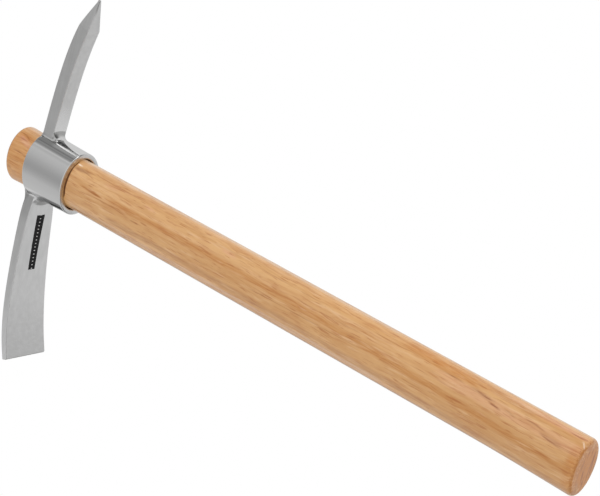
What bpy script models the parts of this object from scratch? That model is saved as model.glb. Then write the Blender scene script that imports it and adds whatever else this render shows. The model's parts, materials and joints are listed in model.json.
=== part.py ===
# One-hand pick mattock: a forged steel head, with its eye, pick and mattock blade in
# one piece, driven onto the tapered head end of an oval wooden handle.
#
# The tool's own axes have their origin in the middle of the eye. X runs along the
# handle towards the grip, Z towards the pick's point and Y across the tool. They are
# tilted as a whole, so that the tool stands on its cutting edge and its butt.
# All lengths are in metres.
import math

import bmesh
import bpy
import numpy as np
from mathutils import Vector

# Handle: full heights (along Z) and widths (along Y) of its oval
HEAD_END_HEIGHT = 0.0392
HEAD_END_WIDTH = 0.0303
NECK_HEIGHT = 0.0343
NECK_WIDTH = 0.0267
BUTT_HEIGHT = 0.0330
BUTT_WIDTH = 0.0254
WOOD_PROUD = 0.0203          # how far the head end stands out of the eye
GRIP_LENGTH = 0.4043         # from the eye to the butt
BUTT_SWELL = 0.0014          # how far the underside swells out at the butt
SWELL_LENGTH = 0.060
HEAD_ROUND = 0.0022          # rounding of the wood's two ends
BUTT_ROUND = 0.0027

# Eye: an oval tube that follows the handle's taper
EYE_LENGTH = 0.0380
CROWN_WALL = 0.0036          # above and below, where the arms grow out of it
SIDE_WALL = 0.0027
SEAT_CLEARANCE = 0.0003      # where the wood wedges, at the eye's far rim
MOUTH_CLEARANCE = 0.0009     # the open gap round the wood at the near rim
RIM_ROUND = 0.0009
RIM_MARGIN = 0.0002          # between the rim's rounding and the foot of a fillet

# Pick: a square bar that curves towards the grip and ends in a four-sided point
PICK_LENGTH = 0.0985         # from the eye's crown to the point
PICK_INSET = 0.0006          # back of the root, in from the eye's far rim
PICK_SWEEP = 0.0179          # how far the point lies ahead of the root
PICK_ROOT_LEAN = math.radians(4.9)
PICK_TIP_LEAN = math.radians(15.6)
PICK_PULLS = (0.60, 0.34)    # the curve's two handles, as shares of its length
PICK_ROOT_THICKNESS = 0.0096
PICK_THICKNESS = 0.0106      # just below the point
PICK_ROOT_WIDTH = 0.0112
PICK_WIDTH = 0.0104
PICK_FRONT_FILLET = 0.0050   # radii of the fillets that lead the root onto the eye
PICK_BACK_FILLET = 0.0110
POINT_LENGTH = 0.0203
POINT_SIZE = 0.0014
POINT_SET_BACK = 0.0006      # how far the tip lies behind the pick's middle
POINT_BLEND = 0.62           # how softly the point's back begins, as a share of its length
POINT_BULGE = 1.00           # 1 for a straight back, more for a fuller one

# Mattock blade: thins and widens down to a straight cutting edge
BLADE_LENGTH = 0.1127        # from the eye's crown to the cutting edge
BLADE_INSET = -0.0006        # back of the root, in from the eye's far rim
BLADE_SWEEP = 0.0149
BLADE_ROOT_LEAN = math.radians(0.6)
BLADE_TIP_LEAN = math.radians(17.0)
BLADE_PULLS = (0.75, 0.086)
BLADE_ROOT_THICKNESS = 0.0082
BLADE_THICKNESS = 0.0042     # at the cutting edge
BLADE_ROOT_WIDTH = 0.0180
BLADE_SHOULDER_WIDTH = 0.0238
SHOULDER_LENGTH = 0.0184
BLADE_FRONT_FILLET = 0.0050
BLADE_BACK_FILLET = 0.0230
EDGE_WIDTH = 0.0348
EDGE_BEVEL = 0.0009          # height of the bevel that is ground on the front
EDGE_LAND = 0.0032           # thickness that the bevel leaves

# Shared by both arms
ROOT_DEPTH = 0.0080          # how far an arm's root runs into the eye before the bore
ARRIS_ROUND = 0.0005
FILLET_SINK = 0.0001         # how deep a fillet's foot ends in the eye's wall

# How finely the curves are divided
OVAL_SIDES = 72
ARM_STEPS = 20
POINT_STEPS = 5
SWELL_STEPS = 5
FILLET_STEPS = 6
CORNER_STEPS = 3
SIDE_STEPS = 6
END_STEPS = 4
RIM_STEPS = 3

# The fillet's search: how far along an arm its top may lie, and the step for the slope
FILLET_REACH = (-0.006, 0.030)
SLOPE_STEP = 0.0002


def clear_scene():
    for item in list(bpy.data.objects):
        bpy.data.objects.remove(item, do_unlink=True)


def new_collection(name):
    collection = bpy.data.collections.new(name)
    bpy.context.scene.collection.children.link(collection)
    return collection


def mix(start, end, share):
    return start + (end - start) * share


def loft(name, rings, collection):
    """A closed solid through rings of equally many points, with flat ends."""
    mesh_data = bmesh.new()
    loops = [[mesh_data.verts.new(point) for point in ring] for ring in rings]
    for ring, following in zip(loops, loops[1:]):
        for index in range(len(ring)):
            after = (index + 1) % len(ring)
            mesh_data.faces.new((ring[index], ring[after], following[after], following[index]))
    mesh_data.faces.new(loops[0])
    mesh_data.faces.new(loops[-1])
    bmesh.ops.recalc_face_normals(mesh_data, faces=mesh_data.faces)
    mesh = bpy.data.meshes.new(name)
    mesh_data.to_mesh(mesh)
    mesh_data.free()
    item = bpy.data.objects.new(name, mesh)
    collection.objects.link(item)
    return item


def oval_ring(x, height, width, swell=0.0):
    """An oval across the handle; swell deepens its lower half."""
    ring = []
    for side in range(OVAL_SIDES):
        turn = math.tau * side / OVAL_SIDES
        up = math.sin(turn)
        half_height = height / 2 + (swell if up < 0 else 0.0)
        ring.append((x, width / 2 * math.cos(turn), half_height * up))
    return ring


def handle_size(x):
    """Height and width of the wood's oval at a place along the tool."""
    head_end = -EYE_LENGTH / 2 - WOOD_PROUD
    neck = EYE_LENGTH / 2
    butt = neck + GRIP_LENGTH
    if x < neck:
        share = (x - head_end) / (neck - head_end)
        return (mix(HEAD_END_HEIGHT, NECK_HEIGHT, share), mix(HEAD_END_WIDTH, NECK_WIDTH, share))
    share = (x - neck) / (butt - neck)
    return (mix(NECK_HEIGHT, BUTT_HEIGHT, share), mix(NECK_WIDTH, BUTT_WIDTH, share))


def handle_swell(x):
    butt = EYE_LENGTH / 2 + GRIP_LENGTH
    share = max(0.0, 1 - (butt - x) / SWELL_LENGTH)
    return BUTT_SWELL * share ** 1.5


def add_bevel(item, width, segments):
    bevel = item.modifiers.new("rounding", "BEVEL")
    bevel.width = width
    bevel.segments = segments
    bevel.limit_method = "ANGLE"
    bevel.angle_limit = math.radians(60)


def make_handle(collection):
    """Ovals along the handle, which draw in round a quarter circle at each end."""
    neck = EYE_LENGTH / 2
    head_end, butt = -neck - WOOD_PROUD, neck + GRIP_LENGTH
    swell_start, swell_end = butt - SWELL_LENGTH, butt - BUTT_ROUND
    turns = [math.pi / 2 * step / END_STEPS for step in range(END_STEPS + 1)]
    places = [(head_end + HEAD_ROUND * (1 - math.sin(turn)), HEAD_ROUND * (1 - math.cos(turn)))
              for turn in reversed(turns)]
    places += [(neck, 0.0)]
    places += [(mix(swell_start, swell_end, step / SWELL_STEPS), 0.0)
               for step in range(SWELL_STEPS)]
    places += [(butt - BUTT_ROUND * (1 - math.sin(turn)), BUTT_ROUND * (1 - math.cos(turn)))
               for turn in turns]
    rings = []
    for x, drawn_in in places:
        height, width = handle_size(x)
        rings.append(oval_ring(x, height - 2 * drawn_in, width - 2 * drawn_in, handle_swell(x)))
    return loft("wooden_handle", rings, collection)


def bore_size(x):
    """Height and width of the eye's bore at a place along it."""
    height, width = handle_size(x)
    share = (x + EYE_LENGTH / 2) / EYE_LENGTH
    clearance = mix(SEAT_CLEARANCE, MOUTH_CLEARANCE, share)
    return height + 2 * clearance, width + 2 * clearance


def eye_outside(x):
    """Half the height and half the width of the eye's outside at a place along it."""
    height, width = bore_size(x)
    return height / 2 + CROWN_WALL, width / 2 + SIDE_WALL


def nearest_on_eye(point):
    """The place on the eye's outside that lies nearest to a point, straight across the eye."""
    half_height, half_width = eye_outside(point.x)
    turns = np.linspace(0, math.tau, 1441)
    ys, zs = half_width * np.cos(turns), half_height * np.sin(turns)
    nearest = np.argmin((ys - point.y) ** 2 + (zs - point.z) ** 2)
    return Vector((point.x, ys[nearest], zs[nearest]))


def arm_line(root_x, side, length, sweep, root_lean, tip_lean, pulls):
    """The centre line of an arm, from the eye's crown to its end, and its length.

    It is a cubic curve. side is 1 for the arm above the eye and -1 for the one below it.
    The function that comes back gives the place and the direction at a distance along it.
    """
    crown = eye_outside(root_x)[0]
    start = np.array((root_x, side * crown))
    end = np.array((root_x + sweep, side * (crown + length)))
    root_way = np.array((math.sin(root_lean), side * math.cos(root_lean)))
    tip_way = np.array((math.sin(tip_lean), side * math.cos(tip_lean)))
    controls = (start, start + root_way * pulls[0] * length,
                end - tip_way * pulls[1] * length, end)
    shares = np.linspace(0, 1, 241)[:, None]
    rest = 1 - shares
    weights = (rest ** 3, 3 * rest ** 2 * shares, 3 * rest * shares ** 2, shares ** 3)
    points = sum(control * weight for control, weight in zip(controls, weights))
    slopes = (rest ** 2, 2 * rest * shares, shares ** 2)
    ways = sum((b - a) * slope for a, b, slope in zip(controls, controls[1:], slopes))
    ways /= np.linalg.norm(ways, axis=1, keepdims=True)
    steps = np.linalg.norm(np.diff(points, axis=0), axis=1)
    travelled = np.concatenate([[0.0], np.cumsum(steps)])

    def line(distance):
        if distance <= 0:
            return start + root_way * distance, root_way
        point = [np.interp(distance, travelled, points[:, k]) for k in (0, 1)]
        way = [np.interp(distance, travelled, ways[:, k]) for k in (0, 1)]
        return point, way

    return line, travelled[-1]


def section_spots():
    """The places round a rounded rectangle: its corner box, and the way out from there."""
    spots = []
    for turn, (u, v), (next_u, next_v) in ((0, (1, 1), (-1, 1)), (90, (-1, 1), (-1, -1)),
                                           (180, (-1, -1), (1, -1)), (270, (1, -1), (1, 1))):
        for step in range(CORNER_STEPS + 1):
            way = math.radians(turn + 90 * step / CORNER_STEPS)
            spots.append((u, v, math.cos(way), math.sin(way)))
        for step in range(1, SIDE_STEPS):
            share = step / SIDE_STEPS
            spots.append((mix(u, next_u, share), mix(v, next_v, share),
                          math.cos(way), math.sin(way)))
    return spots


def arm_point(line, sizes, spot, distance):
    """One place of the section that lies square across an arm at a distance along it."""
    (x, z), (way_x, way_z) = line(distance)
    front, back, half_width, rounding = sizes(distance)
    u, v, out_x, out_y = spot
    ahead = mix(rounding - back, front - rounding, (u + 1) / 2) + rounding * out_x
    y = v * (half_width - rounding) + rounding * out_y
    return Vector((x + abs(way_z) * ahead, y, z - way_x * ahead * math.copysign(1, way_z)))


def fillet_arc(line, sizes, spot, front_radius, back_radius):
    """The arc of a ball that rolls between an arm and the eye, at one place of the section.

    The ball grows from the front to the back and leads out to the front and to the sides.
    The back is flush with the eye's far rim, so there it leads out to the sides only, and
    the foot is drawn in past that rim.
    """
    out_x, out_y = max(spot[2], 0.0), spot[3]
    if spot[2] < 0:
        out_y = float(spot[1])
    radius = mix(back_radius, front_radius, (spot[0] + 1) / 2)

    def ball(distance):
        point = arm_point(line, sizes, spot, distance)
        ahead = arm_point(line, sizes, spot, distance + SLOPE_STEP) - point
        outward = Vector((out_x, out_y, 0.0))
        outward -= ahead * outward.dot(ahead) / ahead.length_squared
        return point, point + outward.normalized() * radius

    low, high = FILLET_REACH
    for _ in range(30):
        distance = (low + high) / 2
        point, centre = ball(distance)
        if (nearest_on_eye(centre) - centre).length > radius:
            high = distance
        else:
            low = distance
    touch = nearest_on_eye(centre)
    begin, finish = point - centre, touch - centre
    back = arm_point(line, sizes, (-1, 0, -1, 0), 0.0).x
    drawn_in = max(0.0, -EYE_LENGTH / 2 + RIM_ROUND + RIM_MARGIN - back)
    angle = begin.angle(finish)
    arc = []
    for step in range(FILLET_STEPS + 1):
        share = step / FILLET_STEPS
        place = (begin * math.sin((1 - share) * angle) + finish * math.sin(share * angle))
        place = centre + place * (1 + share * FILLET_SINK / radius) / math.sin(angle)
        place.x += share * drawn_in * (1 - spot[0]) / 2
        arc.append(place)
    return distance, arc


def arm_rings(line, sizes, distances, front_radius, back_radius):
    """Rings from inside the eye's wall, up the fillet and along the arm."""
    spots = section_spots()
    straight = [index for index, spot in enumerate(spots) if spot[2] < -0.999 and abs(spot[1]) < 1]
    arcs = {index: fillet_arc(line, sizes, spot, front_radius, back_radius)
            for index, spot in enumerate(spots) if index not in straight}
    top = max(distance for distance, _ in arcs.values())
    rings = []
    for step in range(FILLET_STEPS, -1, -1):
        ring = [arcs[index][1][step] if index in arcs else None for index in range(len(spots))]
        ends = ring[straight[0] - 1], ring[straight[-1] + 1]
        for place, index in enumerate(straight):
            ring[index] = ends[0].lerp(ends[1], (place + 1) / (len(straight) + 1))
        if step == FILLET_STEPS:
            buried = math.copysign(abs(line(0)[0][1]) - ROOT_DEPTH, line(0)[0][1])
            rings.append([Vector((point.x, point.y, buried)) for point in ring])
        rings.append(ring)
    for distance in [place for place in distances if place > top + ARRIS_ROUND]:
        rings.append([arm_point(line, sizes, spot, distance) for spot in spots])
    return rings


def make_pick(collection):
    root_x = -EYE_LENGTH / 2 + PICK_INSET + PICK_ROOT_THICKNESS / 2
    line, total = arm_line(root_x, 1, PICK_LENGTH, PICK_SWEEP, PICK_ROOT_LEAN, PICK_TIP_LEAN,
                           PICK_PULLS)
    shaft = total - POINT_LENGTH

    def sizes(distance):
        share = min(max(distance / shaft, 0.0), 1.0)
        along_point = (distance - shaft) / POINT_LENGTH
        taper = max(0.0, along_point)
        soft_taper = min((along_point + math.hypot(along_point, POINT_BLEND)) / 2, 1.0)
        soft_taper = max(soft_taper, 0.0) ** POINT_BULGE
        thickness = mix(PICK_ROOT_THICKNESS, PICK_THICKNESS, share)
        front = mix(thickness / 2, POINT_SIZE / 2 - POINT_SET_BACK, taper)
        back = mix(thickness / 2, POINT_SIZE / 2 + POINT_SET_BACK, soft_taper)
        half_width = mix(mix(PICK_ROOT_WIDTH, PICK_WIDTH, share), POINT_SIZE, taper) / 2
        return front, back, half_width, min(ARRIS_ROUND, 0.8 * half_width)

    distances = [*np.linspace(0.0, shaft, ARM_STEPS)]
    distances += [*np.linspace(shaft, total, POINT_STEPS + 1)[1:]]
    rings = arm_rings(line, sizes, distances, PICK_FRONT_FILLET, PICK_BACK_FILLET)
    return loft("pick_arm", rings, collection)


def blade_half_width(distance, total):
    """Half the blade's width: quick at the shoulders, then a flare that evens out at the edge."""
    shoulder = 1 - math.exp(-2 * distance / SHOULDER_LENGTH)
    share = min(max(distance / total, 0.0), 1.0)
    flare = mix(BLADE_SHOULDER_WIDTH, EDGE_WIDTH, share * share * (3 - 2 * share))
    return mix(BLADE_ROOT_WIDTH, flare, max(shoulder, 0.0)) / 2


def make_blade(collection):
    root_x = -EYE_LENGTH / 2 + BLADE_INSET + BLADE_ROOT_THICKNESS / 2
    line, total = arm_line(root_x, -1, BLADE_LENGTH, BLADE_SWEEP, BLADE_ROOT_LEAN,
                           BLADE_TIP_LEAN, BLADE_PULLS)
    bevel_top = total - EDGE_BEVEL

    def sizes(distance):
        half = mix(BLADE_ROOT_THICKNESS, BLADE_THICKNESS, max(distance, 0.0) / total) / 2
        ground = max(0.0, (distance - bevel_top) / EDGE_BEVEL)
        front = mix(half, EDGE_LAND - half, ground)
        return front, half, blade_half_width(distance, total), ARRIS_ROUND

    distances = [*np.linspace(0.0, bevel_top, ARM_STEPS), total]
    rings = arm_rings(line, sizes, distances, BLADE_FRONT_FILLET, BLADE_BACK_FILLET)
    return loft("mattock_blade", rings, collection)


def add_boolean(item, operation, other):
    cut = item.modifiers.new(other.name, "BOOLEAN")
    cut.operation = operation
    cut.object = other
    cut.solver = "EXACT"


def make_head(collection, helpers):
    rims = (-EYE_LENGTH / 2, EYE_LENGTH / 2)
    outside = [oval_ring(x, *(2 * half for half in eye_outside(x))) for x in rims]
    head = loft("pick_mattock_head", outside, collection)
    add_bevel(head, RIM_ROUND, RIM_STEPS)
    far, near = [np.array(bore_size(x)) for x in rims]
    bore_rings = [oval_ring(rims[0] - EYE_LENGTH, *(2 * far - near)),
                  oval_ring(rims[1] + EYE_LENGTH, *(2 * near - far))]
    bore = loft("eye_bore", bore_rings, helpers)
    add_boolean(head, "UNION", make_pick(helpers))
    add_boolean(head, "UNION", make_blade(helpers))
    add_boolean(head, "DIFFERENCE", bore)
    for helper in helpers.objects:
        helper.hide_render = True
        helper.display_type = "WIRE"
    return head


def make_material(name, colour, metallic, roughness):
    material = bpy.data.materials.new(name)
    material.use_nodes = True
    shader = material.node_tree.nodes["Principled BSDF"]
    shader.inputs["Base Color"].default_value = (*colour, 1.0)
    shader.inputs["Metallic"].default_value = metallic
    shader.inputs["Roughness"].default_value = roughness
    return material


def finished_points(item):
    """The item's corner points after its modifiers, in the tool's own axes."""
    graph = bpy.context.evaluated_depsgraph_get()
    mesh = item.evaluated_get(graph).to_mesh()
    points = np.empty(len(mesh.vertices) * 3, np.float32)
    mesh.vertices.foreach_get("co", points)
    return points.reshape(-1, 3).astype(float)


def heights(points, tilt):
    return points[:, 2] * math.cos(tilt) - points[:, 0] * math.sin(tilt)


def stand_on_floor(axes, head, handle):
    """Tilts the tool until its blade and its butt touch one level, and lowers it there."""
    bpy.context.view_layer.update()
    steel, wood = finished_points(head), finished_points(handle)
    low, high = 0.0, math.radians(60)
    for _ in range(50):
        tilt = (low + high) / 2
        if heights(wood, tilt).min() > heights(steel, tilt).min():
            low = tilt
        else:
            high = tilt
    both = np.concatenate([steel, wood])
    level = heights(both, tilt)
    along = both[:, 0] * math.cos(tilt) + both[:, 2] * math.sin(tilt)
    axes.rotation_euler = (0.0, tilt, 0.0)
    axes.location = (-(along.min() + along.max()) / 2, 0.0, -level.min())


def main():
    clear_scene()
    parts = new_collection("pick_mattock")
    helpers = new_collection("helpers")
    axes = bpy.data.objects.new("tool_axes", None)
    parts.objects.link(axes)
    head = make_head(parts, helpers)
    handle = make_handle(parts)
    head.data.materials.append(make_material("satin_steel", (0.47, 0.47, 0.47), 1.0, 0.32))
    handle.data.materials.append(make_material("varnished_ash", (0.64, 0.36, 0.16), 0.0, 0.35))
    for item in [head, handle, *helpers.objects]:
        item.data.shade_smooth()
        item.data.set_sharp_from_angle(angle=math.radians(35))
        item.parent = axes
    helpers.hide_render = True
    stand_on_floor(axes, head, handle)


main()
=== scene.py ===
import json
import math

import bpy
import numpy as np
from mathutils import Matrix


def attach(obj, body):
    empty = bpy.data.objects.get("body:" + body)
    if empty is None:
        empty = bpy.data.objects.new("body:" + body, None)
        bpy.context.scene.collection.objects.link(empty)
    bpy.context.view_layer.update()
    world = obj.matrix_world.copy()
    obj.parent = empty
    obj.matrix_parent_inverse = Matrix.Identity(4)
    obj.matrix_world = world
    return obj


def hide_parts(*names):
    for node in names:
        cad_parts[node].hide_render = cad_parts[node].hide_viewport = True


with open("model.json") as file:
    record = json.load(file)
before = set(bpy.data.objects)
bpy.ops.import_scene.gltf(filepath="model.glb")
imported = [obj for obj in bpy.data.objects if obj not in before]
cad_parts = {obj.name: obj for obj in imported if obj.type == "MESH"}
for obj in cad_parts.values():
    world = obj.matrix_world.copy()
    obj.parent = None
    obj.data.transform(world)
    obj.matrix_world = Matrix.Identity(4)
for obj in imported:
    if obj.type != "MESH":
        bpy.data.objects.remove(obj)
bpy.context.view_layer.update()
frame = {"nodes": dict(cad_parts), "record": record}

print("frame loaded:", sorted(frame["nodes"]))

# The tool's own axes: origin in the middle of the eye, X along the handle to the grip,
# Z to the pick's point, Y away from the camera. Everything below is worked out in them,
# in metres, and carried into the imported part's frame by toolToFrame.
mounts = {mount["name"]: mount for mount in frame["record"]["mounts"]}
eyeLength = 0.0380
buttDistance = 0.4233            # from the eye's middle to the butt's face
alongHandle = np.array(mounts["butt_end"]["axis"], float)
eyeMiddle = np.array(mounts["butt_end"]["pos_m"], float) - buttDistance * alongHandle
across = np.array((0.0, 1.0, 0.0))
toolAxes = np.stack([alongHandle, across, np.cross(alongHandle, across)])
# How far the handle falls towards the butt
toolTilt = math.atan2(-alongHandle[2], alongHandle[0])


def toolToFrame(points):
    return np.asarray(points, float) @ toolAxes + eyeMiddle


def mix(start, end, share):
    return start + (end - start) * share


def smoothStep(low, high, value):
    # 0 below low, 1 above high, and 3s^2 - 2s^3 in between
    share = np.clip((value - low) / (high - low), 0.0, 1.0)
    return share * share * (3 - 2 * share)


def between(starts, stops, value):
    # Rises from 0 to 1 over starts, and falls back to 0 over stops
    return smoothStep(*starts, value) * (1 - smoothStep(*stops, value))


# Meshes


def makePiece(name, points, faces, material, attributes):
    mesh = bpy.data.meshes.new(name)
    mesh.from_pydata(toolToFrame(points).tolist(), [], faces)
    mesh.polygons.foreach_set("use_smooth", [True] * len(mesh.polygons))
    for label, values in attributes.items():
        layer = mesh.attributes.new(label, "FLOAT", "POINT")
        layer.data.foreach_set("value", np.asarray(values, np.float32).ravel())
    mesh.materials.append(material)
    mesh.update()
    piece = bpy.data.objects.new(name, mesh)
    bpy.context.scene.collection.objects.link(piece)
    print(f"{name}: {len(points)} points, {len(faces)} faces")
    return piece


def ringFaces(rows, columns, closedRows=False):
    # Quads between neighbouring rings of a grid whose columns run all the way round
    row = np.arange(rows if closedRows else rows - 1)[:, None]
    column = np.arange(columns)[None, :]
    following, beside = (row + 1) % rows, (column + 1) % columns
    corners = [row * columns + column, row * columns + beside,
               following * columns + beside, following * columns + column]
    return np.stack(np.broadcast_arrays(*corners), -1).reshape(-1, 4)


def turnedOutward(points, faces):
    # The signed volume of a closed mesh is negative where its faces point inwards
    quads = points[np.asarray(faces)]
    volume = np.einsum("ij,ij->i", quads[:, 0], np.cross(quads[:, 1], quads[:, 2])).sum()
    volume += np.einsum("ij,ij->i", quads[:, 0], np.cross(quads[:, 2], quads[:, 3])).sum()
    return faces if volume > 0 else faces[:, ::-1]


def loftPiece(name, rings, material, attributes):
    # A closed skin over rings, each end closed by a fan to the ring's middle
    rows, columns = rings.shape[:2]
    points = np.concatenate([rings.reshape(-1, 3), rings[[0, -1]].mean(axis=1)])
    faces = ringFaces(rows, columns)
    column = np.arange(columns)
    beside = (column + 1) % columns
    first, last = rows * columns, rows * columns + 1
    start = np.stack([column * 0 + first, beside, column], -1)
    end = np.stack([column * 0 + last, column + (rows - 1) * columns,
                    beside + (rows - 1) * columns], -1)
    flipped = turnedOutward(points, faces) is not faces
    fans = np.concatenate([start, end])
    allFaces = (faces[:, ::-1] if flipped else faces).tolist()
    allFaces += (fans[:, ::-1] if flipped else fans).tolist()
    values = {label: np.concatenate([grid.ravel(), grid[[0, -1]].mean(axis=1)])
              for label, grid in attributes.items()}
    return makePiece(name, points, allFaces, material, values)


# Materials


def linear(hexColour):
    # An sRGB hex colour as linear light, with full alpha
    parts = [int(hexColour[place:place + 2], 16) / 255 for place in (1, 3, 5)]
    return (*[part / 12.92 if part <= 0.04045 else ((part + 0.055) / 1.055) ** 2.4
              for part in parts], 1.0)


def addNode(tree, kind, inputs=(), **settings):
    # Settings are the node's own fields. An input takes another node's output or a value.
    node = tree.nodes.new("ShaderNode" + kind)
    for field, value in settings.items():
        setattr(node, field, value)
    for socket, value in dict(inputs).items():
        if isinstance(value, bpy.types.NodeSocket):
            tree.links.new(value, node.inputs[socket])
        else:
            node.inputs[socket].default_value = value
    return node


def newMaterial(name):
    material = bpy.data.materials.new(name)
    material.use_nodes = True
    material.node_tree.nodes.clear()
    return material, material.node_tree


def toolPlace(tree):
    # Object coordinates, turned and moved into the tool's own axes
    centred = np.array(Matrix.Rotation(-toolTilt, 3, "Y")) @ -eyeMiddle
    place = addNode(tree, "TexCoord").outputs["Object"]
    return addNode(tree, "Mapping", {"Vector": place, "Rotation": (0.0, -toolTilt, 0.0),
                                     "Location": tuple(centred)}).outputs["Vector"]


noiseLow, noiseHigh = 0.3, 0.7    # nearly all of a noise texture lies between these

steelFinish = {
    "bright": "#E0E0E0",         # freshly ground carbon steel, and the light end of painted light on faces
    "dull": "#A2A2A1",           # the same with a trace of forging skin left on, and the dark end of painted shade
    "scale": "#4A3C33",          # forge scale, left as it was inside the eye
    "satinRoughness": 0.34,      # the arms come off a fine belt
    "satinSpread": 0.03,         # a little more or less than that in the soft patches
    "buffedRoughness": 0.07,     # the eye comes off a buffing wheel
    "scaleRoughness": 0.75,
    "clouds": 160.0,             # soft patches per metre, 6 mm each
    "cloudTone": 0.03,           # how much brighter or duller they are
    # Belt lines per metre along x, y and z. Real ones are 0.1 mm wide, too fine to show, so
    # these are 0.7 mm wide.
    "beltLines": (1500.0, 260.0, 70.0),
    "beltTone": 0.07,
    "beltTurn": 38.0,            # how many degrees they lean
    "beltDepth": 0.00006,
}


def groundSteel():
    # Forged carbon steel. Each point has three shares: "buffed" goes from belt-ground satin
    # to near-mirror, "bright" from darker to brighter metal, and "scaled" is the dark rough
    # skin inside the eye. "bright" is in part a trace of forging skin and in part painted
    # light:
    # faces and bands made lighter or darker to stand in for the reflections they catch.
    material, tree = newMaterial("ground_carbon_steel")
    place = toolPlace(tree)
    share = {name: addNode(tree, "Attribute", attribute_name=name).outputs["Fac"]
             for name in ("buffed", "bright", "scaled")}
    cloud = addNode(tree, "TexNoise", {"Vector": place, "Scale": steelFinish["clouds"],
                                       "Detail": 4.0, "Roughness": 0.6}).outputs["Fac"]
    turned = addNode(tree, "Mapping", {
        "Vector": place, "Rotation": (0.0, math.radians(steelFinish["beltTurn"]), 0.0),
        "Scale": steelFinish["beltLines"]}).outputs["Vector"]
    lines = addNode(tree, "TexNoise", {"Vector": turned, "Scale": 1.0,
                                       "Detail": 2.0}).outputs["Fac"]
    mottle, streak = [addNode(tree, "MapRange", {
        "Value": pattern, "From Min": noiseLow, "From Max": noiseHigh,
        "To Min": -steelFinish[tone], "To Max": steelFinish[tone]}).outputs["Result"]
        for pattern, tone in ((cloud, "cloudTone"), (lines, "beltTone"))]
    uneven = addNode(tree, "Math", {0: mottle, 1: streak}, operation="ADD").outputs["Value"]
    unbuffed = addNode(tree, "Math", {0: 1.0, 1: share["buffed"]},
                       operation="SUBTRACT").outputs["Value"]
    uneven = addNode(tree, "Math", {0: uneven, 1: unbuffed},
                     operation="MULTIPLY").outputs["Value"]
    tone = addNode(tree, "Math", {0: share["bright"], 1: uneven}, operation="ADD",
                   use_clamp=True).outputs["Value"]
    colour = addNode(tree, "Mix", {
        "Factor": tone, 6: linear(steelFinish["dull"]),
        7: linear(steelFinish["bright"])}, data_type="RGBA").outputs[2]
    colour = addNode(tree, "Mix", {
        "Factor": share["scaled"], 6: colour,
        7: linear(steelFinish["scale"])}, data_type="RGBA").outputs[2]
    satin = addNode(tree, "MapRange", {
        "Value": cloud, "From Min": noiseLow, "From Max": noiseHigh,
        "To Min": steelFinish["satinRoughness"] - steelFinish["satinSpread"],
        "To Max": steelFinish["satinRoughness"] + steelFinish["satinSpread"]}).outputs["Result"]
    rough = addNode(tree, "Mix", {"Factor": share["buffed"], 2: satin,
                                  3: steelFinish["buffedRoughness"]}).outputs[0]
    rough = addNode(tree, "Mix", {"Factor": share["scaled"], 2: rough,
                                  3: steelFinish["scaleRoughness"]}).outputs[0]
    # The belt's marks fade fast with buffing, as the cube of what is left unbuffed
    pressed = addNode(tree, "Math", {0: unbuffed, 1: 3.0}, operation="POWER").outputs["Value"]
    bump = addNode(tree, "Bump", {"Height": lines, "Strength": pressed,
                                  "Distance": steelFinish["beltDepth"]}).outputs["Normal"]
    shader = addNode(tree, "BsdfPrincipled", {"Base Color": colour, "Metallic": 1.0,
                                              "Roughness": rough, "Normal": bump})
    addNode(tree, "OutputMaterial", {"Surface": shader.outputs["BSDF"]})
    return material


ashFinish = {
    "pale": "#DBAA70",           # early wood under clear varnish
    "bends": 26.0,               # bends in the grain per metre
    "bendReach": 0.0045,         # how far the grain wanders in one
    # Patterns of stretched noise: cells per metre along x, y and z, detail, roughness, the
    # colour that the crests lay on, the heights between which it sets in, and the most of
    # it. Real pores are 0.3 mm wide, too fine to show, so these are 0.8 mm wide and 12 mm
    # long. The rings in the end face are 2 mm apart.
    "patterns": {
        "broad": ((7.0, 75.0, 75.0), 2.0, 0.5, "#CE9A61", 0.35, 0.65, 0.55),
        "broadFibre": ((26.0, 330.0, 330.0), 3.0, 0.6, "#BF8548", 0.42, 0.66, 0.42),
        "fineFibre": ((60.0, 850.0, 850.0), 2.0, 0.6, "#B4703A", 0.50, 0.72, 0.42),
        "paleFibre": ((38.0, 460.0, 460.0), 2.0, 0.6, "#E8C093", 0.52, 0.72, 0.40),
        "pore": ((80.0, 1200.0, 1200.0), 1.0, 0.6, "#A65C22", 0.61, 0.72, 0.50),
        "endRings": ((100.0, 520.0, 70.0), 3.0, 0.6, "#94562A", 0.47, 0.68, 1.0),
    },
    # Colours that are laid on by the shares in grainFigure, in this order, and how far the
    # fine fibres break each one up
    # The greyish pale layer is painted sheen, and the brown layer also lays painted shade along
    # the underside
    "layers": (("orange", "#C8853F", 0.50), ("blush", "#DDA283", 0.30),
               ("honey", "#BC7A32", 0.50), ("brown", "#AE7C50", 0.45),
               ("light", "#E8BC8C", 0.30), ("paintedSheen", "#D2BEAB", 0.20),
               ("dark", "#8A4410", 0.85)),
    "broken": (0.34, 0.62, 0.3),    # between which heights, and how much more on the crests
    "shadeAndHeadLine": "#5E3408",           # painted shadow of the eye's rim, painted shade, and the dark line round the head end
    "paintedHighlight": "#FFEBD6",          # painted highlight
    "endFace": "#BF7C34",
    "roughness": (0.40, 0.50),   # the wood's own sheen under the varnish
    "varnish": 0.45,             # the share of a clear gloss coat on top
    "varnishRoughness": 0.12,
    "ior": 1.45,                 # as wood has
    "varnishIor": 1.5,           # as hard varnish has
    "fibreDepth": 0.00012,
    "fibreStrength": 0.35,
}


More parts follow.
